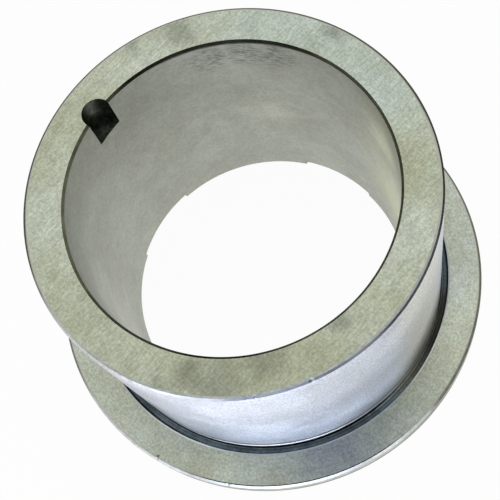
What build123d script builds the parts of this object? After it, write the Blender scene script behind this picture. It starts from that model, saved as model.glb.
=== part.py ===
# Shaft bushing: a flanged steel sleeve that slides over a shaft.
# Its ground outside is the race that a gear or a needle cage turns on, and its
# flange takes the side load. A pin in the shaft stands in the half-round notch
# and keeps the sleeve from turning.
#
# Frame: millimetres, +Z up along the bore, from the flange towards the plain end.
# The origin is on the bore's axis, in the plane of the flange's underside, and
# the notch is on the +X side.

import os

from build123d import *

os.makedirs("parts", exist_ok=True)

# Sleeve
bore_radius = 32.0          # slides on the shaft
sleeve_wall = 8.0           # its ground outside is the race, 80 across
total_length = 55.5         # underside of the flange to the plain end
end_chamfer = 0.5           # outer edge of the plain end
bore_chamfer = 0.5          # both ends of the bore

# Flange
shoulder_width = 9.25       # beyond the race, which makes the rim 98.5 across
flange_thickness = 6.2
shoulder_chamfer = 0.5      # rim, on the side that the gear leans on
underside_chamfer = 2.0     # rim, on the underside

# Relief groove in the flange's face, at the foot of the race, which lets the
# grinding wheel run out
relief_width = 1.65
relief_depth = 1.3
relief_corner = 0.5         # radius in both corners of its floor

# Notch for the anti-rotation pin, milled down the bore's wall from the plain end
notch_radius = 3.1
notch_setback = 0.2         # its own axis, behind the bore's wall
notch_depth = 8.2           # flat floor

# Oil slots, milled across the underside from the bore to the rim
slot_count = 4
slot_width = 18.0
slot_depth = 1.8
slot_edge_break = 0.3       # along both edges of each slot
slot_lead = 2.3             # degrees, from the notch round to the middle of the first slot

# Sleeve and flange, turned as one section
race_radius = bore_radius + sleeve_wall
flange_radius = race_radius + shoulder_width
shoulder = flange_thickness
relief_floor = shoulder - relief_depth
relief_outer = race_radius + relief_width

with BuildPart() as bushing:
    with BuildSketch(Plane.XZ):
        with BuildLine():
            # Bore, from the underside to the plain end
            Line((bore_radius + bore_chamfer, 0), (bore_radius, bore_chamfer))
            Line((bore_radius, bore_chamfer), (bore_radius, total_length - bore_chamfer))
            Line((bore_radius, total_length - bore_chamfer), (bore_radius + bore_chamfer, total_length))
            # Plain end and race
            Line((bore_radius + bore_chamfer, total_length), (race_radius - end_chamfer, total_length))
            Line((race_radius - end_chamfer, total_length), (race_radius, total_length - end_chamfer))
            Line((race_radius, total_length - end_chamfer), (race_radius, relief_floor + relief_corner))
            # Relief groove, rounded in both corners of its floor
            TangentArc(
                (race_radius, relief_floor + relief_corner),
                (race_radius + relief_corner, relief_floor),
                tangent=(0, -1),
            )
            Line((race_radius + relief_corner, relief_floor), (relief_outer - relief_corner, relief_floor))
            TangentArc(
                (relief_outer - relief_corner, relief_floor),
                (relief_outer, relief_floor + relief_corner),
                tangent=(1, 0),
            )
            Line((relief_outer, relief_floor + relief_corner), (relief_outer, shoulder))
            # Shoulder face, rim and underside
            Line((relief_outer, shoulder), (flange_radius - shoulder_chamfer, shoulder))
            Line((flange_radius - shoulder_chamfer, shoulder), (flange_radius, shoulder - shoulder_chamfer))
            Line((flange_radius, shoulder - shoulder_chamfer), (flange_radius, underside_chamfer))
            Line((flange_radius, underside_chamfer), (flange_radius - underside_chamfer, 0))
            Line((flange_radius - underside_chamfer, 0), (bore_radius + bore_chamfer, 0))
        make_face()
    revolve(axis=Axis.Z)

    # Pin notch, open to the bore and to the plain end
    with BuildSketch(Plane.XY.offset(total_length)):
        with Locations((bore_radius + notch_setback, 0)):
            Circle(notch_radius)
    extrude(amount=-notch_depth, mode=Mode.SUBTRACT)

    # Oil slots, with the first one nearly under the notch
    with BuildSketch(Plane.YZ):
        with BuildLine():
            Polyline(
                (slot_width / 2 + slot_edge_break, 0),
                (slot_width / 2, slot_edge_break),
                (slot_width / 2, slot_depth),
                (-slot_width / 2, slot_depth),
                (-slot_width / 2, slot_edge_break),
                (-slot_width / 2 - slot_edge_break, 0),
                close=True,
            )
        make_face()
    slot = extrude(amount=flange_radius, mode=Mode.PRIVATE)
    with PolarLocations(0, slot_count, start_angle=slot_lead):
        add(slot, mode=Mode.SUBTRACT)

shaft_bushing = bushing.part
shaft_bushing.label = "shaft_bushing"
export_step(shaft_bushing, "parts/shaft_bushing.step")
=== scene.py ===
# Shaft bushing: the finish of each surface, the light and the camera.
# The CAD model is the frame. One piece stands for its only node: the same turned,
# milled and ground sleeve, with the fine broken edges and the surfaces of the real one.
# Frame: metres, +Z up along the bore, the notch on the +X side.

import math

import bmesh
import bpy
from mathutils import Euler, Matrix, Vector


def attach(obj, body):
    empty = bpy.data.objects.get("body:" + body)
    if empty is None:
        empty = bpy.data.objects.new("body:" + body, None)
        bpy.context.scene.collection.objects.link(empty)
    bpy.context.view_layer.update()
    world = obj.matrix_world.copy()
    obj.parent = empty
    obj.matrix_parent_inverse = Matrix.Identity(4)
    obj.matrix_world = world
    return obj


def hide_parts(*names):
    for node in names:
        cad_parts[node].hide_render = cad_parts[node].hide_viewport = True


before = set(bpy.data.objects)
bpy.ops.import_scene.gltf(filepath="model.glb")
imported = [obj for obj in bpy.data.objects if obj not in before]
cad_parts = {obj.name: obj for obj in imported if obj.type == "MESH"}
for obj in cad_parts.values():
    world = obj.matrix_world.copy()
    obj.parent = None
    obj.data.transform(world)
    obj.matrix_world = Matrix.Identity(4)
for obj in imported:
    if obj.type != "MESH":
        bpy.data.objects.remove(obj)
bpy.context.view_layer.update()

MM = 0.001

# Sizes, in millimetres

bore_radius = 32.0
race_radius = 40.0
flange_radius = 49.25
total_length = 55.5
shoulder = 6.2               # height of the flange's upper face
end_chamfer = 0.5
bore_chamfer = 0.5
shoulder_chamfer = 0.5
underside_chamfer = 2.0

relief_width = 1.65
relief_depth = 1.3
relief_corner = 0.5

notch_radius = 3.1
notch_setback = 0.2          # how far its middle stands outside the bore's wall
notch_depth = 8.2

slot_count = 4
slot_width = 18.0
slot_depth = 1.8
slot_edge_break = 0.3
slot_lead = 2.3              # degrees from the notch to the middle of the nearest slot

stoned_width = 0.8           # the land that is stoned and the chamfer beyond it, half each
stoned_drop = 0.12           # how far the land falls towards the chamfer
line_width = 0.20            # a dark line beside an edge
lip_width = 0.28             # the pale line painted round the groove as a highlight
foot_top = 9.2               # the wheel stops here, and below it the race is only turned
foot_land = (7.8, 6.68)      # the last turned land above the groove, painted bright as a highlight
lip_height = 0.2             # how far down the groove's outer wall its lip is painted pale as a highlight
rim_foot = 3.4               # from here down the rim is painted darker, as shade
scaled_reach = (39.38, 39.48)        # from here out the stoned land is scaled
scraped_reach = (40.30, 40.50)       # as far out as this the groove's inner corner is scraped
clean_floor_reach = (40.55, 40.95)   # and from here out its floor is paler
crept_oil = (54.55, 54.75)           # where a line of oil begins on the bore's wall

edge_radius = 0.07           # what the stone leaves on a turned or ground edge
milled_edge_radius = 0.05    # the same, on the notch and the slots
turned_steps = 360           # round the axis
notch_steps = 96             # round the notch's cutter
nick_step = 0.12             # degrees between the steps that shape a nick
nick_side_steps = 9          # of them, on each side of its middle
hold_width = 0.7             # how far a nick's dent may run into the surface beside it
cutter_clearance = 1.0       # how far a cutter stands out of the steel
slot_run_in = 6.0            # how far inside the bore's wall a slot's cutter starts
smooth_angle = 35            # degrees: a turned or milled surface is shaded smooth up to this
milled_angle = 50            # degrees: an edge sharper than this is broken

# Knocks on the edges: azimuth in degrees, radius, height, depth and reach
nicks = [(146.0, 39.85, 55.15, 0.20, 0.60),
         (129.0, 39.9, 55.1, 0.16, 0.45),
         (131.2, 39.9, 55.1, 0.18, 0.50),
         (93.1, 48.6, 6.2, 0.12, 0.45),
         (113.4, 48.9, 6.1, 0.20, 0.45)]


# Nodes and colours

def linear(hex_colour):
    """An sRGB hex colour as the linear RGBA that a shader takes."""
    parts = [int(hex_colour[i:i + 2], 16) / 255 for i in (1, 3, 5)]
    return tuple(p / 12.92 if p <= 0.04045 else ((p + 0.055) / 1.055) ** 2.4 for p in parts) + (1.0,)


def add(tree, kind, settings=None, inputs=None):
    """Adds a node, sets it, and fills its inputs with values or links.

    Gives back its first output in use.
    """
    made = tree.nodes.new(kind)
    for name, value in (settings or {}).items():
        setattr(made, name, value)
    for name, value in (inputs or {}).items():
        if isinstance(value, bpy.types.NodeSocket):
            tree.links.new(value, made.inputs[name])
        else:
            made.inputs[name].default_value = value
    return next((out for out in made.outputs if out.enabled), None)


def new_material(name):
    """An empty node material and its tree."""
    material = bpy.data.materials.new(name)
    material.use_nodes = True
    material.node_tree.nodes.clear()
    return material, material.node_tree


def place_on_part(tree):
    """Where a point of the surface lies, in metres from the origin of the part."""
    return add(tree, "ShaderNodeTexCoord").node.outputs["Object"]


def straight_lay(tree, turn, stretch):
    """The place, for lines turned by some degrees from +X.

    A pattern is drawn out along the lines by the stretch.
    """
    turned = add(tree, "ShaderNodeVectorRotate", {"rotation_type": "Z_AXIS"},
                 {"Vector": place_on_part(tree), "Angle": math.radians(-turn)})
    return add(tree, "ShaderNodeVectorMath", {"operation": "MULTIPLY"},
               {0: turned, 1: (1 / stretch, 1, 1)})


def wall_lay(tree, stretch):
    """The place, for lines round the axis on a round wall."""
    return add(tree, "ShaderNodeVectorMath", {"operation": "MULTIPLY"},
               {0: place_on_part(tree), 1: (1 / stretch, 1 / stretch, 1)})


def reach_from_axis(tree):
    """How far a point of the surface lies from the axis, in metres."""
    flat = add(tree, "ShaderNodeVectorMath", {"operation": "MULTIPLY"},
               {0: place_on_part(tree), 1: (1, 1, 0)})
    return add(tree, "ShaderNodeVectorMath", {"operation": "LENGTH"}, {0: flat})


def face_lay(tree, stretch):
    """The place, for lines round the axis on a flat face."""
    rings = add(tree, "ShaderNodeCombineXYZ", None, {"Z": reach_from_axis(tree)})
    return add(tree, "ShaderNodeVectorMath", {"operation": "MULTIPLY_ADD"},
               {0: place_on_part(tree), 1: (1 / stretch, 1 / stretch, 0), 2: rings})


def wiped_lay(tree, stretch):
    """The place, for smears that a cloth has left along the axis."""
    return add(tree, "ShaderNodeVectorMath", {"operation": "MULTIPLY"},
               {0: place_on_part(tree), 1: (1, 1, 1 / stretch)})


def patches(tree, place, size_mm, detail, roughness, seed=0.0, start=0.32, full=0.68):
    """Soft patches of about one size, from 0 to 1. Another seed shifts them, so that no two match."""
    shift = (seed, seed * 0.7, seed * 0.3)
    shifted = add(tree, "ShaderNodeVectorMath", {"operation": "ADD"}, {0: place, 1: shift})
    cloud = add(tree, "ShaderNodeTexNoise", {"noise_dimensions": "3D"},
                {"Vector": shifted, "Scale": 1 / (size_mm * MM), "Detail": detail,
                 "Roughness": roughness})
    return add(tree, "ShaderNodeMapRange", None, {"Value": cloud, "From Min": start, "From Max": full})


def above(tree, low_mm, high_mm):
    """0 below one height and 1 above another."""
    height = add(tree, "ShaderNodeSeparateXYZ", None, {0: place_on_part(tree)}).node.outputs["Z"]
    return add(tree, "ShaderNodeMapRange", None,
               {"Value": height, "From Min": low_mm * MM, "From Max": high_mm * MM})


def mark(radius, azimuth, height, size):
    """A mark's middle, given round the axis, as x, y and z, and the mark's own radius."""
    around = math.radians(azimuth)
    return radius * math.cos(around), radius * math.sin(around), height, size


def spots(tree, places, ragged_mm, softness):
    """1 inside each mark and 0 outside it, with a ragged edge and a soft rim."""
    here = place_on_part(tree)
    # The edge wanders in and out by up to twice the raggedness, in bays a little longer than that
    bay = ragged_mm * 2.5 * MM
    furthest = ragged_mm * 2 * MM
    wander = add(tree, "ShaderNodeTexNoise", None, {"Vector": here, "Scale": 1 / bay, "Detail": 4.0})
    wander = add(tree, "ShaderNodeMath", {"operation": "MULTIPLY_ADD"},
                 {0: wander, 1: 2 * furthest, 2: -furthest})
    whole = None
    for x, y, z, radius in places:
        middle = (x * MM, y * MM, z * MM)
        away = add(tree, "ShaderNodeVectorMath", {"operation": "DISTANCE"}, {0: here, 1: middle})
        away = add(tree, "ShaderNodeMath", {"operation": "ADD"}, {0: away, 1: wander})
        inside = add(tree, "ShaderNodeMapRange", {"interpolation_type": "SMOOTHSTEP"},
                     {"Value": away, "From Min": radius * MM * (1 - softness),
                      "From Max": radius * MM, "To Min": 1.0, "To Max": 0.0})
        if whole is None:
            whole = inside
        else:
            whole = add(tree, "ShaderNodeMath", {"operation": "MAXIMUM"}, {0: whole, 1: inside})
    return whole


def layered(tree, *layers):
    """The product of layers. Each one is a pattern from 0 to 1, with the value at its two ends."""
    whole = None
    for pattern, low, high in layers:
        layer = add(tree, "ShaderNodeMapRange", None, {"Value": pattern, "To Min": low, "To Max": high})
        if whole is None:
            whole = layer
        else:
            whole = add(tree, "ShaderNodeMath", {"operation": "MULTIPLY"}, {0: whole, 1: layer})
    return whole


def tarnish(tree, pattern, colours):
    """Colours that drift into each other over a pattern from 0 to 1, the most tarnished one first."""
    drift = add(tree, "ShaderNodeValToRGB", None, {"Fac": pattern})
    ramp = drift.node.color_ramp
    margin = 0.05
    while len(ramp.elements) < len(colours):
        ramp.elements.new(0.5)
    for i, colour in enumerate(colours):
        ramp.elements[i].position = margin + (1 - 2 * margin) * i / (len(colours) - 1)
        ramp.elements[i].color = linear(colour)
    return drift


def stained(tree, colour, places, ragged_mm, softness, stain):
    """The colour, with another one over it inside marks."""
    if isinstance(stain, str):
        stain = linear(stain)
    return add(tree, "ShaderNodeMix", {"data_type": "RGBA"},
               {"Factor": spots(tree, places, ragged_mm, softness), "A": colour, "B": stain})


def steel(tree, colour, shade, roughness, height, depth_um, anisotropic):
    """Bare steel: its colour and shade, its roughness, and the height and depth of the tool's lines.

    An anisotropic finish smears the light along the axis, across lines that run round it.
    """
    shaded = add(tree, "ShaderNodeVectorMath", {"operation": "SCALE"}, {0: colour, "Scale": shade})
    depth = depth_um * 0.001 * MM
    quarter_turn = 0.25
    bump = add(tree, "ShaderNodeBump", None, {"Height": height, "Strength": 1.0, "Distance": depth})
    tangent = add(tree, "ShaderNodeTangent", {"direction_type": "RADIAL", "axis": "Z"})
    shader = add(tree, "ShaderNodeBsdfPrincipled", None,
                 {"Base Color": shaded, "Metallic": 1.0, "Roughness": roughness,
                  "Anisotropic": anisotropic, "Anisotropic Rotation": quarter_turn, "Tangent": tangent,
                  "Normal": bump})
    add(tree, "ShaderNodeOutputMaterial", None, {"Surface": shader})


# Finishes

# A wheel leaves lines about 0.05 mm apart and a turning or milling tool about 0.1 mm, and the
# grain of the tarnish is finer still. None would show in a render, so each lay is drawn at 0.2 to
# 0.6 mm and each grain at 0.4 to 0.8 mm. Clouds and blotches have the sizes that they really have.

def ground_end_steel():
    """Hardened steel, surface ground: a satin with a straight lay, clouded olive and grey green."""
    material, tree = new_material("ground_end_steel")
    place = place_on_part(tree)
    cloud = patches(tree, place, size_mm=15.0, detail=3.0, roughness=0.55, seed=1.0)
    blotch = patches(tree, place, size_mm=3.2, detail=4.0, roughness=0.6, seed=6.4)
    grain = patches(tree, place, size_mm=0.55, detail=3.0, roughness=0.75, seed=3.1)
    lay = patches(tree, straight_lay(tree, turn=81, stretch=8), size_mm=0.40, detail=3.0, roughness=0.7)
    olive = tarnish(tree, cloud, ("#b2b59c", "#bbc0aa", "#c0c6b2", "#c6ccbc"))
    grey_green = tarnish(tree, cloud, ("#b5bdad", "#bdc6b8", "#c4ccc2"))
    colour = stained(tree, olive, [mark(36.0, 271, total_length, 27.0)], ragged_mm=2.0, softness=0.35,
                     stain=grey_green)
    smudge = spots(tree, [mark(35.1, 114, total_length, 5.2), mark(37.1, 122, total_length, 7.5),
                          mark(34.0, 134, total_length, 6.0), mark(33.5, 160, total_length, 4.0),
                          mark(37.6, 321, total_length, 6.0), mark(38.8, 337, total_length, 3.5),
                          mark(38.5, 272, total_length, 3.5), mark(39.0, 106, total_length, 3.5)],
                   ragged_mm=1.6, softness=0.95)
    shade = layered(tree, (grain, 0.76, 1.20), (lay, 0.80, 1.16), (blotch, 0.91, 1.07),
                    (smudge, 1.0, 0.68))
    steel(tree, colour, shade, layered(tree, (lay, 0.38, 0.48)), lay, depth_um=1.1, anisotropic=0.0)
    return material


def ground_shoulder_steel():
    """The flange's face, ground with the wheel's side: as the plain end, but its lay runs round."""
    material, tree = new_material("ground_shoulder_steel")
    place = place_on_part(tree)
    cloud = patches(tree, place, size_mm=13.0, detail=3.0, roughness=0.55, seed=7.7)
    blotch = patches(tree, place, size_mm=2.6, detail=4.0, roughness=0.6, seed=2.9)
    grain = patches(tree, place, size_mm=0.55, detail=3.0, roughness=0.75, seed=5.3)
    lay = patches(tree, face_lay(tree, stretch=10), size_mm=0.40, detail=3.0, roughness=0.7)
    colour = tarnish(tree, cloud, ("#b8baa8", "#bdc2b0", "#c1c7b8", "#c5cac0"))
    # Painted reflection: a blue-grey patch on the near side, where the face reflects the race
    colour = stained(tree, colour, [mark(43.0, 144, shoulder, 20.0)], ragged_mm=2.0, softness=1.0,
                     stain="#969b9e")
    rubbed = spots(tree, [mark(43.3, 108, shoulder, 2.2), mark(45.5, 100, shoulder, 1.6),
                          mark(45.5, 111, shoulder, 7.0)], ragged_mm=1.0, softness=0.9)
    clean = spots(tree, [mark(44.0, 192, shoulder, 22.0)], ragged_mm=1.0, softness=1.0)
    chipped = spots(tree, [mark(48.4, 93.1, shoulder, 0.6), mark(48.9, 113.4, shoulder, 0.4)],
                    ragged_mm=0.3, softness=0.7)
    shade = layered(tree, (grain, 0.72, 1.24), (lay, 0.90, 1.08), (blotch, 0.91, 1.07),
                    (rubbed, 1.0, 1.14), (clean, 1.0, 1.38), (chipped, 1.0, 0.35))
    steel(tree, colour, shade, layered(tree, (lay, 0.36, 0.44)), lay, depth_um=0.7, anisotropic=0.2)
    return material


def ground_race_steel():
    """The race, cylindrically ground: bright and cold, with lines that only smear the light."""
    material, tree = new_material("ground_race_steel")
    place = place_on_part(tree)
    cloud = patches(tree, place, size_mm=12.0, detail=3.0, roughness=0.55, seed=2.2)
    grain = patches(tree, wiped_lay(tree, stretch=1.7), size_mm=0.42, detail=3.0, roughness=0.75,
                    seed=8.8)
    lay = patches(tree, wall_lay(tree, stretch=17.5), size_mm=0.40, detail=3.0, roughness=0.65)
    # The colour turns bluer towards the groove. Painted light: the upper part is painted lighter and
    # the lower part darker, as the light falls down the race
    bright = tarnish(tree, cloud, ("#c5cad1", "#cbd0da", "#d1d6e0"))
    blue = tarnish(tree, cloud, ("#bcc6d7", "#c6cfdf"))
    colour = add(tree, "ShaderNodeMix", {"data_type": "RGBA"},
                 {"Factor": above(tree, 20, 42), "A": blue, "B": bright})
    old_oil = [mark(race_radius, 187, z, 15.0) for z in (12, 26, 40, 52)]
    colour = stained(tree, colour, old_oil, ragged_mm=1.0, softness=0.7, stain="#c9cac4")
    # Painted shade: a dark patch low on the right of the race, where it reflects less light
    dried_oil_and_shade = spots(tree, [mark(race_radius, 189, 11.0, 15.0)], ragged_mm=2.0, softness=0.9)
    # Painted shade: the race's left edge, painted darker down its height
    painted_limb_shade = spots(tree, [mark(race_radius, 87, z, 10.0) for z in (2, 10, 18, 25)], ragged_mm=1.2,
                     softness=1.0)
    # Painted shade: darker patches on the race
    painted_shade_patches = spots(tree, [mark(race_radius, 97, 42.0, 14.0), mark(race_radius, 141, 51.0, 6.0),
                          mark(race_radius, 180, 34.0, 15.0), mark(race_radius, 170, 53.0, 8.0)],
                   ragged_mm=2.0, softness=1.0)
    # Painted highlight: lighter patches on the race
    painted_highlight = spots(tree, [mark(race_radius, 146, 15.0, 17.0), mark(race_radius, 161, 11.0, 15.0),
                         mark(race_radius, 131, 27.0, 9.0)], ragged_mm=2.0, softness=0.9)
    shade = layered(tree, (grain, 0.72, 1.24), (lay, 0.94, 1.05), (above(tree, 30, 54), 1.0, 1.20),
                    (above(tree, 8, 20), 0.92, 1.0), (dried_oil_and_shade, 1.0, 0.55), (painted_limb_shade, 1.0, 0.40),
                    (painted_shade_patches, 1.0, 0.82), (painted_highlight, 1.0, 1.36))
    steel(tree, colour, shade, layered(tree, (cloud, 0.36, 0.42)), lay, depth_um=0.3, anisotropic=0.7)
    return material


def turned_foot_steel():
    """The last turned land above the groove: a thin white line, painted near white as a highlight."""
    material, tree = new_material("turned_foot_steel")
    mottle = patches(tree, place_on_part(tree), size_mm=0.8, detail=4.0, roughness=0.65, seed=4.1)
    lay = patches(tree, wall_lay(tree, stretch=25), size_mm=0.2, detail=3.0, roughness=0.6)
    colour = tarnish(tree, mottle, ("#e8eef8", "#f3f8ff"))
    # Painted shade at both ends of the race
    painted_shade = spots(tree, [mark(race_radius, 190, 7.0, 16.0), mark(race_radius, 86, 7.0, 9.5)],
                  ragged_mm=1.5, softness=0.7)
    shade = layered(tree, (lay, 0.95, 1.03), (painted_shade, 1.0, 0.40))
    steel(tree, colour, shade, layered(tree, (lay, 0.46, 0.54)), lay, depth_um=0.5, anisotropic=0.8)
    return material


def turned_bore_steel():
    """The bore, finish turned and left so: a duller, warmer grey, with the tool's lines round it."""
    material, tree = new_material("turned_bore_steel")
    place = place_on_part(tree)
    cloud = patches(tree, place, size_mm=13.0, detail=3.0, roughness=0.55, seed=4.6)
    blotch = patches(tree, place, size_mm=2.4, detail=4.0, roughness=0.6, seed=9.2)
    grain = patches(tree, place, size_mm=0.7, detail=3.0, roughness=0.7, seed=1.4)
    lay = patches(tree, wall_lay(tree, stretch=11), size_mm=0.35, detail=3.0, roughness=0.6)
    colour = tarnish(tree, cloud, ("#afb1a6", "#b3b5aa", "#b5b9ad", "#bbbeb3"))
    # Painted highlight: a warm, pale tint on the right of the bore
    colour = stained(tree, colour, [mark(bore_radius, 232, z, 18.0) for z in (20, 38, 52)],
                     ragged_mm=2.0, softness=0.8, stain="#b6b8a2")
    # Towards the plain end the oil has dried darker, and most where the tool has chattered
    dried_oil_and_shade = spots(tree, [mark(bore_radius, 302, 56.0, 19.0), mark(bore_radius, 322, 54.0, 15.0),
                         mark(bore_radius, 345, 48.0, 20.0)], ragged_mm=2.0, softness=1.0)
    # Painted highlight: lighter patches on the right of the bore
    painted_bore_highlight = spots(tree, [mark(bore_radius, 226, 24.0, 24.0), mark(bore_radius, 240, 43.0, 9.0)],
                        ragged_mm=2.0, softness=1.0)
    rubbed = spots(tree, [mark(bore_radius, 299, 27.0, 11.0), mark(bore_radius, 66, 24.0, 24.0)],
                   ragged_mm=2.0, softness=1.0)
    chatter = patches(tree, wall_lay(tree, stretch=5.0), size_mm=0.32, detail=3.0, roughness=0.6,
                      seed=2.3, start=0.42, full=0.64)
    chattered = spots(tree, [mark(bore_radius, 292, 51.5, 8.0), mark(bore_radius, 302, 52.0, 8.0),
                             mark(bore_radius, 313, 50.5, 7.0)], ragged_mm=1.5, softness=0.9)
    dashes = add(tree, "ShaderNodeMath", {"operation": "MULTIPLY"}, {0: chatter, 1: chattered})
    # Old oil has crept over the chamfer's edge and stands on the wall in a thin line
    crept = add(tree, "ShaderNodeMath", {"operation": "MULTIPLY"},
                {0: above(tree, *crept_oil),
                 1: spots(tree, [mark(bore_radius, 306, 55.0, 19.0)], ragged_mm=2.0, softness=0.4)})
    shade = layered(tree, (grain, 0.88, 1.11), (lay, 0.92, 1.07), (blotch, 0.94, 1.05),
                    (above(tree, 40, 54), 1.0, 0.86), (dried_oil_and_shade, 1.0, 0.88), (painted_bore_highlight, 1.0, 1.54),
                    (rubbed, 1.0, 1.28), (dashes, 1.0, 0.38), (crept, 1.0, 0.30))
    steel(tree, colour, shade, layered(tree, (lay, 0.40, 0.50)), lay, depth_um=1.1, anisotropic=0.6)
    return material


def turned_rim_steel():
    """The rim, its lower chamfer and the foot of the race, only turned: smooth and a little darker."""
    material, tree = new_material("turned_rim_steel")
    cloud = patches(tree, place_on_part(tree), size_mm=5.0, detail=4.0, roughness=0.6)
    lay = patches(tree, wall_lay(tree, stretch=20), size_mm=0.25, detail=3.0, roughness=0.6)
    colour = tarnish(tree, cloud, ("#7a7b71", "#8b8d83", "#9c9e94"))
    rubbed = spots(tree, [mark(flange_radius, 74, 4.0, 20.0)], ragged_mm=1.5, softness=0.6)
    # Painted highlight: lighter patches on the rim and the race's turned band
    painted_highlight = spots(tree, [mark(flange_radius, 142, 4.0, 27.0), mark(race_radius, 165, 9.0, 9.0)],
                  ragged_mm=1.5, softness=0.5)
    shade = layered(tree, (lay, 0.93, 1.06), (rubbed, 1.0, 1.6), (painted_highlight, 1.0, 1.65))
    steel(tree, colour, shade, layered(tree, (lay, 0.30, 0.38)), lay, depth_um=0.7, anisotropic=0.5)
    return material


def shaded_rim_steel():
    """The lowest part of the rim: the same turned steel, painted dark towards the underside as shade.
    """
    material, tree = new_material("shaded_rim_steel")
    cloud = patches(tree, place_on_part(tree), size_mm=5.0, detail=4.0, roughness=0.6)
    lay = patches(tree, wall_lay(tree, stretch=20), size_mm=0.25, detail=3.0, roughness=0.6)
    colour = tarnish(tree, cloud, ("#7a7b71", "#8b8d83", "#9c9e94"))
    shade = layered(tree, (lay, 0.93, 1.06), (above(tree, underside_chamfer, rim_foot), 0.08, 1.0))
    steel(tree, colour, shade, layered(tree, (lay, 0.30, 0.38)), lay, depth_um=0.7, anisotropic=0.5)
    return material


def stoned_edge_steel():
    """The narrow land that a stone leaves beside a ground face: pale, dull and colder than the face."""
    material, tree = new_material("stoned_edge_steel")
    cloud = patches(tree, place_on_part(tree), size_mm=1.5, detail=4.0, roughness=0.7)
    colour = tarnish(tree, cloud, ("#d8dacb", "#dfe1d4", "#e4e6da"))
    cold = tarnish(tree, cloud, ("#bcc1bb", "#c9cecb", "#d4d9d8"))
    colour = stained(tree, colour, [mark(45.0, 140, 40.0, 52.0)], ragged_mm=2.0, softness=0.3,
                     stain=cold)
    # On the far side its outer half is dark with scale, as the chamfer is
    outer = add(tree, "ShaderNodeMapRange", None,
                {"Value": reach_from_axis(tree), "From Min": scaled_reach[0] * MM,
                 "From Max": scaled_reach[1] * MM})
    far = spots(tree, [mark(45.0, 320, 40.0, 66.0)], ragged_mm=2.0, softness=0.15)
    scaled = add(tree, "ShaderNodeMath", {"operation": "MULTIPLY"}, {0: outer, 1: far})
    shade = layered(tree, (cloud, 0.97, 1.03), (scaled, 1.0, 0.30))
    steel(tree, colour, shade, layered(tree, (cloud, 0.50, 0.60)), cloud, depth_um=0.7, anisotropic=0.0)
    return material


def glinting_end_edge_steel():
    """The chamfer round the plain end: scaled, brown on the far side, and painted pale in places as a
    reflection.
    """
    material, tree = new_material("glinting_end_edge_steel")
    cloud = patches(tree, place_on_part(tree), size_mm=1.2, detail=4.0, roughness=0.7)
    colour = tarnish(tree, cloud, ("#3a382f", "#454238", "#524f45"))
    scale = tarnish(tree, cloud, ("#565a62", "#62666d", "#6e7278"))
    painted_glint = tarnish(tree, cloud, ("#dcdedd", "#f0f2f1"))
    colour = stained(tree, colour, [mark(39.8, 140, 55.2, 46.0)], ragged_mm=1.6, softness=0.25,
                     stain=scale)
    colour = stained(tree, colour, [mark(39.8, 162, 55.2, 7.0)], ragged_mm=1.6, softness=0.8,
                     stain="#8a8e93")
    # Painted reflection: a pale patch on the left
    colour = stained(tree, colour, [mark(39.8, 88, 55.2, 27.0)], ragged_mm=1.6, softness=0.75,
                     stain=painted_glint)
    steel(tree, colour, layered(tree, (cloud, 0.95, 1.05)), layered(tree, (cloud, 0.46, 0.56)), cloud,
          depth_um=0.7, anisotropic=0.0)
    return material


def glinting_rim_edge_steel():
    """The chamfer round the flange's face: grey along one side, brown with scale beyond, and painted
    pale in places as a reflection.
    """
    material, tree = new_material("glinting_rim_edge_steel")
    cloud = patches(tree, place_on_part(tree), size_mm=1.2, detail=4.0, roughness=0.7)
    colour = tarnish(tree, cloud, ("#767568", "#868577", "#929183"))
    grey = tarnish(tree, cloud, ("#9da1a3", "#acb0b2"))
    painted_glint = tarnish(tree, cloud, ("#d2d4d2", "#e0e2e0"))
    colour = stained(tree, colour, [mark(49.0, 121, 6.0, 45.0)], ragged_mm=1.6, softness=0.20,
                     stain=grey)
    # Painted reflection: pale patches on the chamfer
    colour = stained(tree, colour, [mark(49.0, 82, 6.0, 20.0), mark(49.0, 163, 6.0, 11.0)],
                     ragged_mm=1.6, softness=0.5, stain=painted_glint)
    steel(tree, colour, layered(tree, (cloud, 0.95, 1.05)), layered(tree, (cloud, 0.46, 0.56)), cloud,
          depth_um=0.7, anisotropic=0.0)
    return material


def dark_line_steel():
    """The flange's face right beside its rim: a dark line on one side only."""
    material, tree = new_material("dark_line_steel")
    cloud = patches(tree, place_on_part(tree), size_mm=2.0, detail=4.0, roughness=0.6)
    colour = tarnish(tree, cloud, ("#b4b7ab", "#c0c4b8"))
    colour = stained(tree, colour, [mark(48.6, 132, 6.2, 28.0)], ragged_mm=1.5, softness=0.35,
                     stain="#262a26")
    steel(tree, colour, layered(tree, (cloud, 0.95, 1.05)), layered(tree, (cloud, 0.40, 0.50)), cloud,
          depth_um=0.7, anisotropic=0.0)
    return material


def scaled_edge_steel():
    """The chamfers at both ends of the bore: turned, then blackened in the furnace, and painted darker
    still with shade in places.
    """
    material, tree = new_material("scaled_edge_steel")
    cloud = patches(tree, place_on_part(tree), size_mm=4.0, detail=4.0, roughness=0.6)
    lay = patches(tree, wall_lay(tree, stretch=20), size_mm=0.2, detail=3.0, roughness=0.6)
    colour = tarnish(tree, cloud, ("#585949", "#656655", "#727362"))
    # Painted shade: near-black patches on the bore's chamfer
    painted_shade = spots(tree, [mark(32.2, 303, 55.2, 25.0), mark(32.2, 334, 55.2, 14.0),
                         mark(32.2, 122, 55.2, 12.0)], ragged_mm=2.0, softness=0.6)
    worn = spots(tree, [mark(32.2, 42, 55.2, 24.0)], ragged_mm=2.0, softness=0.7)
    shade = layered(tree, (lay, 0.85, 1.15), (painted_shade, 1.0, 0.14), (worn, 1.0, 2.0))
    steel(tree, colour, shade, layered(tree, (lay, 0.36, 0.46)), lay, depth_um=0.7, anisotropic=0.0)
    return material


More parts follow.
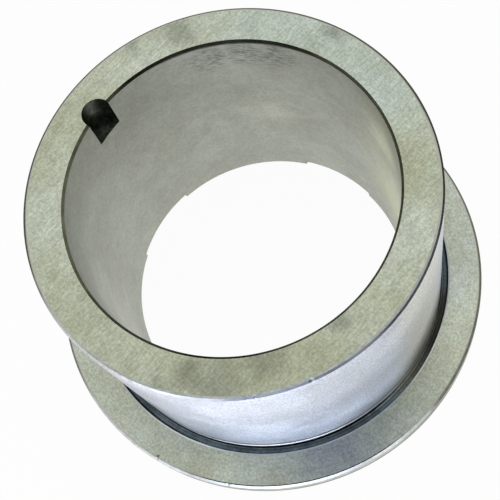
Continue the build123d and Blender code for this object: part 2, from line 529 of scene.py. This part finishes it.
def shaded_corner_steel():
    """The foot of the race, in the groove's corner: painted black as the shade of the recess, and pale
    on one side.
    """
    material, tree = new_material("shaded_corner_steel")
    cloud = patches(tree, place_on_part(tree), size_mm=2.0, detail=4.0, roughness=0.6)
    colour = tarnish(tree, cloud, ("#151a20", "#20272e"))
    colour = stained(tree, colour, [mark(race_radius, 185, 5.5, 17.0)], ragged_mm=1.5, softness=0.5,
                     stain="#dcded8")
    steel(tree, colour, layered(tree, (cloud, 0.9, 1.1)), layered(tree, (cloud, 0.40, 0.50)), cloud,
          depth_um=0.7, anisotropic=0.0)
    return material


def scaled_relief_steel():
    """The relief groove's floor, which no wheel reaches: a dark slate grey, partly scale and old oil
    and partly painted shade of the deep narrow groove.
    """
    material, tree = new_material("scaled_relief_steel")
    cloud = patches(tree, place_on_part(tree), size_mm=3.0, detail=4.0, roughness=0.6)
    grain = patches(tree, place_on_part(tree), size_mm=0.6, detail=3.0, roughness=0.7, seed=3.3)
    lay = patches(tree, wall_lay(tree, stretch=10), size_mm=0.3, detail=3.0, roughness=0.6)
    colour = tarnish(tree, cloud, ("#485359", "#545f65", "#5f696e"))
    colour = stained(tree, colour, [mark(41.0, 188, 5.0, 19.0)], ragged_mm=1.5, softness=0.5,
                     stain="#55564f")
    # The inner corner's curve is painted paler, as a highlight, and brighter still on one side
    line = add(tree, "ShaderNodeMapRange", {"interpolation_type": "SMOOTHSTEP"},
               {"Value": reach_from_axis(tree), "From Min": scraped_reach[0] * MM,
                "From Max": scraped_reach[1] * MM, "To Min": 1.0, "To Max": 0.0})
    painted_glint = spots(tree, [mark(40.2, 180, 5.0, 20.0)], ragged_mm=1.5, softness=0.5)
    glint_line = add(tree, "ShaderNodeMath", {"operation": "MULTIPLY"}, {0: line, 1: painted_glint})
    outer = add(tree, "ShaderNodeMapRange", {"interpolation_type": "SMOOTHSTEP"},
                {"Value": reach_from_axis(tree), "From Min": clean_floor_reach[0] * MM,
                 "From Max": clean_floor_reach[1] * MM})
    clean = spots(tree, [mark(41.0, 98, 5.0, 13.0), mark(41.0, 170, 5.0, 8.0)], ragged_mm=1.5,
                  softness=0.6)
    black = spots(tree, [mark(41.0, 195, 5.0, 10.0)], ragged_mm=1.5, softness=0.6)
    shade = layered(tree, (lay, 0.85, 1.12), (grain, 0.75, 1.25), (line, 1.0, 2.6),
                    (glint_line, 1.0, 1.5), (outer, 0.85, 1.35), (clean, 1.0, 1.7), (black, 1.0, 0.45))
    steel(tree, colour, shade, layered(tree, (lay, 0.40, 0.52)), lay, depth_um=1.1, anisotropic=0.0)
    return material


def highlit_lip_steel():
    """The lip of the groove's outer wall: a thin pale line round the groove, painted as a highlight."""
    material, tree = new_material("highlit_lip_steel")
    cloud = patches(tree, place_on_part(tree), size_mm=1.5, detail=4.0, roughness=0.7)
    colour = tarnish(tree, cloud, ("#b0b6b6", "#c2c8c7"))
    painted_glint = tarnish(tree, cloud, ("#f0f3f1", "#fafcfa"))
    colour = stained(tree, colour, [mark(41.7, 98, 6.2, 17.0), mark(41.7, 184, 6.2, 12.0)],
                     ragged_mm=1.6, softness=0.8, stain=painted_glint)
    steel(tree, colour, layered(tree, (cloud, 0.97, 1.03)), layered(tree, (cloud, 0.42, 0.52)), cloud,
          depth_um=0.7, anisotropic=0.0)
    return material


def milled_notch_steel():
    """The notch's wall and floor, milled before hardening: nearly black, with worn lighter flecks."""
    material, tree = new_material("milled_notch_steel")
    cloud = patches(tree, place_on_part(tree), size_mm=1.6, detail=4.0, roughness=0.65)
    lay = patches(tree, wall_lay(tree, stretch=7), size_mm=0.3, detail=3.0, roughness=0.6)
    colour = tarnish(tree, cloud, ("#343a32", "#4c5348", "#737a6c"))
    steel(tree, colour, layered(tree, (lay, 0.85, 1.15)), layered(tree, (lay, 0.34, 0.46)), lay,
          depth_um=1.1, anisotropic=0.0)
    return material


def milled_slot_steel():
    """The oil slots, milled across the underside: the cutter's lines run along them."""
    material, tree = new_material("milled_slot_steel")
    cloud = patches(tree, place_on_part(tree), size_mm=6.0, detail=4.0, roughness=0.6)
    lay = patches(tree, place_on_part(tree), size_mm=0.6, detail=4.0, roughness=0.6)
    colour = tarnish(tree, cloud, ("#7d8075", "#8f9287", "#a0a39a"))
    steel(tree, colour, layered(tree, (lay, 0.92, 1.07)), layered(tree, (lay, 0.36, 0.48)), lay,
          depth_um=1.1, anisotropic=0.0)
    return material


finishes = [ground_end_steel(), ground_shoulder_steel(), ground_race_steel(), turned_foot_steel(),
            turned_bore_steel(), turned_rim_steel(), shaded_rim_steel(), stoned_edge_steel(),
            glinting_rim_edge_steel(), glinting_end_edge_steel(), scaled_edge_steel(), dark_line_steel(),
            shaded_corner_steel(), scaled_relief_steel(), highlit_lip_steel(), milled_notch_steel(),
            milled_slot_steel()]
(END, SHOULDER, RACE, FOOT, BORE, RIM, RIM_FOOT, STONED, RIM_EDGE, END_EDGE, BORE_EDGE,
 DARK_LINE, SHADED_CORNER, RELIEF, LIP, NOTCH, SLOT) = range(len(finishes))


# The sleeve and its flange

def section():
    """The turned section, up the bore, over the plain end and down to the underside.

    Each corner has its radius, its height, its edge radius and the finish of the stretch after it.
    """
    relief_floor = shoulder - relief_depth
    relief_outer = race_radius + relief_width
    rim_edge = flange_radius - shoulder_chamfer
    return [
        (bore_radius, bore_chamfer, edge_radius, BORE),
        (bore_radius, total_length - bore_chamfer, edge_radius, BORE_EDGE),
        (bore_radius + bore_chamfer, total_length, edge_radius, END),
        (race_radius - stoned_width - hold_width, total_length, 0.0, END),
        (race_radius - stoned_width, total_length, edge_radius, STONED),
        (race_radius - stoned_width / 2, total_length - stoned_drop, edge_radius, END_EDGE),
        (race_radius, total_length - end_chamfer, edge_radius, RACE),
        (race_radius, total_length - end_chamfer - hold_width, 0.0, RACE),
        (race_radius, total_length - end_chamfer - 2 * hold_width, 0.0, RACE),
        (race_radius, foot_top, 0.0, RIM),
        (race_radius, foot_land[0], 0.0, FOOT),
        (race_radius, foot_land[1], 0.0, SHADED_CORNER),
        (race_radius, relief_floor, relief_corner, RELIEF),
        (relief_outer, relief_floor, relief_corner, RELIEF),
        (relief_outer, shoulder - lip_height, 0.0, LIP),
        (relief_outer, shoulder, edge_radius, LIP),
        (relief_outer + edge_radius + lip_width, shoulder, 0.0, SHOULDER),
        (rim_edge - hold_width, shoulder, 0.0, SHOULDER),
        (rim_edge - line_width, shoulder, 0.0, DARK_LINE),
        (rim_edge, shoulder, edge_radius, RIM_EDGE),
        (flange_radius, shoulder - shoulder_chamfer, edge_radius, RIM),
        (flange_radius, rim_foot, 0.0, RIM_FOOT),
        (flange_radius, underside_chamfer, edge_radius, RIM),
        (flange_radius - underside_chamfer, 0.0, edge_radius, END),
        (bore_radius + bore_chamfer, 0.0, edge_radius, BORE_EDGE),
    ]


def rounded(corners, steps=4, hold=0.04):
    """Each corner rounded, as (point, finish after it).

    A point just outside each curve holds the flat beside it.
    """
    made = []
    for i, (radius, height, rounding, finish) in enumerate(corners):
        here = Vector((radius, height))
        before = Vector(corners[i - 1][:2]) - here
        after = Vector(corners[(i + 1) % len(corners)][:2]) - here
        finish_before = corners[i - 1][3]
        if rounding == 0.0:
            made.append((here, finish))
            continue
        set_back = rounding * math.tan((math.pi - before.angle(after)) / 2)
        start, end = here + before.normalized() * set_back, here + after.normalized() * set_back
        made.append((start + before.normalized() * hold, finish_before))
        for k in range(steps + 1):
            t = k / steps
            curve = start * (1 - t) ** 2 + here * 2 * t * (1 - t) + end * t ** 2
            made.append((curve, finish if k >= steps / 2 else finish_before))
        made.append((end + after.normalized() * hold, finish))
    return made


def azimuths():
    """The steps round the axis in degrees, closer together at each nick."""
    steps = {round(360 * k / turned_steps, 3) for k in range(turned_steps)}
    nearby = range(-nick_side_steps, nick_side_steps + 1)
    for middle, *_ in nicks:
        steps |= {round(middle + k * nick_step, 3) for k in nearby}
    return sorted(steps)


def knocked(point, azimuth):
    """A point of the section at an azimuth, pushed down and in where a knock has left a nick."""
    for middle, radius, height, depth, reach in nicks:
        along = math.radians(azimuth - middle) * radius
        away = math.hypot(along, point.x - radius, point.y - height)
        if away < reach:
            point = point - Vector((1, 1)).normalized() * depth * (1 - (away / reach) ** 2) ** 2
    return point


def turned(outline, name):
    """The outline turned round the axis, with its nicks."""
    made = bmesh.new()
    steps = azimuths()
    rings = []
    for corner, _ in outline:
        ring = []
        for azimuth in steps:
            point, a = knocked(corner, azimuth), math.radians(azimuth)
            place = (point.x * MM * math.cos(a), point.x * MM * math.sin(a), point.y * MM)
            ring.append(made.verts.new(place))
        rings.append(ring)
    for i, (_, finish) in enumerate(outline):
        ring, following = rings[i], rings[(i + 1) % len(rings)]
        for k in range(len(steps)):
            after = (k + 1) % len(steps)
            face = made.faces.new((ring[k], following[k], following[after], ring[after]))
            face.material_index = finish
            face.smooth = True
    bmesh.ops.recalc_face_normals(made, faces=made.faces)
    mesh = bpy.data.meshes.new(name)
    made.to_mesh(mesh)
    made.free()
    return mesh


def cutter(outline, low, high, finish, place=None):
    """A closed prism of an outline, from low to high along its own Z, for a boolean cut."""
    made = bmesh.new()
    base = [made.verts.new((x * MM, y * MM, low * MM)) for x, y in outline]
    bottom = made.faces.new(base)
    top = bmesh.ops.extrude_face_region(made, geom=[bottom])
    raised = [v for v in top["geom"] if isinstance(v, bmesh.types.BMVert)]
    bmesh.ops.translate(made, vec=(0, 0, (high - low) * MM), verts=raised)
    if place is not None:
        bmesh.ops.transform(made, matrix=place, verts=made.verts)
    bmesh.ops.recalc_face_normals(made, faces=made.faces)
    for face in made.faces:
        face.material_index = finish
        face.smooth = True
    mesh = bpy.data.meshes.new("cutter")
    made.to_mesh(mesh)
    made.free()
    for material in finishes:
        mesh.materials.append(material)
    made_object = bpy.data.objects.new("cutter", mesh)
    bpy.context.scene.collection.objects.link(made_object)
    return made_object


def build_bushing():
    """The dressed sleeve: turned, its notch and oil slots milled out, and every milled edge broken."""
    mesh = turned(rounded(section()), "bushing")
    for material in finishes:
        mesh.materials.append(material)
    bushing = bpy.data.objects.new("bushing", mesh)
    bpy.context.scene.collection.objects.link(bushing)

    notch_middle = bore_radius + notch_setback
    circle = [(notch_middle + notch_radius * math.cos(a), notch_radius * math.sin(a))
              for a in (2 * math.pi * k / notch_steps for k in range(notch_steps))]
    notch_floor = total_length - notch_depth
    cutters = [cutter(circle, notch_floor, total_length + cutter_clearance, NOTCH)]
    half = slot_width / 2
    mouth = half + slot_edge_break + cutter_clearance
    slot = [(-mouth, -cutter_clearance), (mouth, -cutter_clearance), (half, slot_edge_break),
            (half, slot_depth), (-half, slot_depth), (-half, slot_edge_break)]
    slot_start, slot_end = bore_radius - slot_run_in, flange_radius + cutter_clearance
    for k in range(slot_count):
        turn = math.radians(slot_lead) + 2 * math.pi * k / slot_count
        along = Euler((math.pi / 2, 0, turn + math.pi / 2)).to_matrix().to_4x4()
        cutters.append(cutter(slot, slot_start, slot_end, SLOT, along))
    for each in cutters:
        cut = bushing.modifiers.new("cut", "BOOLEAN")
        cut.operation, cut.solver, cut.object = "DIFFERENCE", "EXACT", each
    evaluated = bushing.evaluated_get(bpy.context.evaluated_depsgraph_get())
    cut_mesh = bpy.data.meshes.new_from_object(evaluated)
    bushing.modifiers.clear()
    bushing.data = cut_mesh
    for each in cutters:
        bpy.data.objects.remove(each)
    cut_mesh.set_sharp_from_angle(angle=math.radians(smooth_angle))
    broken = bushing.modifiers.new("broken edges", "BEVEL")
    broken.limit_method, broken.angle_limit = "ANGLE", math.radians(milled_angle)
    broken.width, broken.segments, broken.harden_normals = milled_edge_radius * MM, 2, True
    return bushing


bushing = build_bushing()
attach(bushing, "root")
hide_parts("shaft_bushing")


# Floor, light and camera

plain_white_share = 0.96     # of what the camera and the steel see of the floor
lamp_aim_height = 0.028      # metres, the middle of the bushing
floor_half = 12.0            # metres, far enough to reach the horizon
room_strength = 0.38


def pale_floor_paint():
    """A matt white tabletop. Seen, it is nearly plain white, and the rest keeps the soft shadow."""
    material, tree = new_material("pale_floor_paint")
    path = add(tree, "ShaderNodeLightPath").node.outputs
    seen = add(tree, "ShaderNodeMath", {"operation": "MAXIMUM"},
               {0: path["Is Camera Ray"], 1: path["Is Glossy Ray"]})
    seen = add(tree, "ShaderNodeMath", {"operation": "MAXIMUM"},
               {0: seen, 1: path["Is Transmission Ray"]})
    matt = add(tree, "ShaderNodeBsdfDiffuse", None, {"Color": linear("#f4f4f2")})
    white = add(tree, "ShaderNodeEmission", None, {"Color": (1, 1, 1, 1), "Strength": 1.0})
    share = layered(tree, (seen, 0.0, plain_white_share))
    both = add(tree, "ShaderNodeMixShader", None, {0: share, 1: matt, 2: white})
    add(tree, "ShaderNodeOutputMaterial", None, {"Surface": both})
    return material


def panel_light(name, azimuth, elevation, distance, width, height, watts, colour):
    """A soft panel that faces the middle of the bushing, placed by its direction from there."""
    lamp = bpy.data.lights.new(name, "AREA")
    lamp.shape, lamp.size, lamp.size_y = "RECTANGLE", width, height
    lamp.energy, lamp.color = watts, linear(colour)[:3]
    lamp_object = bpy.data.objects.new(name, lamp)
    a, e = math.radians(azimuth), math.radians(elevation)
    towards = Vector((math.cos(a) * math.cos(e), math.sin(a) * math.cos(e), math.sin(e)))
    lamp_object.location = Vector((0, 0, lamp_aim_height)) + towards * distance
    lamp_object.rotation_euler = towards.to_track_quat("Z", "Y").to_euler()
    bpy.context.scene.collection.objects.link(lamp_object)


floor_mesh = bpy.data.meshes.new("floor")
floor_mesh.from_pydata([(-floor_half, -floor_half, 0), (floor_half, -floor_half, 0),
                        (floor_half, floor_half, 0), (-floor_half, floor_half, 0)], [], [(0, 1, 2, 3)])
floor_mesh.materials.append(pale_floor_paint())
floor = bpy.data.objects.new("floor", floor_mesh)
bpy.context.scene.collection.objects.link(floor)

world = bpy.data.worlds.new("studio")
bpy.context.scene.world = world
world.use_nodes = True
room = world.node_tree.nodes["Background"].inputs
room["Color"].default_value = linear("#f2f2ec")
room["Strength"].default_value = room_strength

panel_light("window_panel", azimuth=121, elevation=9, distance=0.9, width=0.78, height=0.24,
            watts=8.9, colour="#eff3ff")
panel_light("top_panel", azimuth=322, elevation=65, distance=1.1, width=1.4, height=1.4,
            watts=4.6, colour="#fafcff")

# The camera stands where the photo was taken from, fitted to the round edges of the bushing
camera_data = bpy.data.cameras.new("camera")
camera_data.sensor_width, camera_data.lens = 36.0, 71.11
camera_data.shift_x, camera_data.shift_y = -0.1494, 0.0443
camera = bpy.data.objects.new("camera", camera_data)
camera.location = (-0.06921, 0.0445, 0.22278)
camera.rotation_euler = [math.radians(a) for a in (19.1, 5.442, -146.933)]
bpy.context.scene.collection.objects.link(camera)
bpy.context.scene.camera = camera
bpy.context.scene.view_settings.view_transform = "Standard"
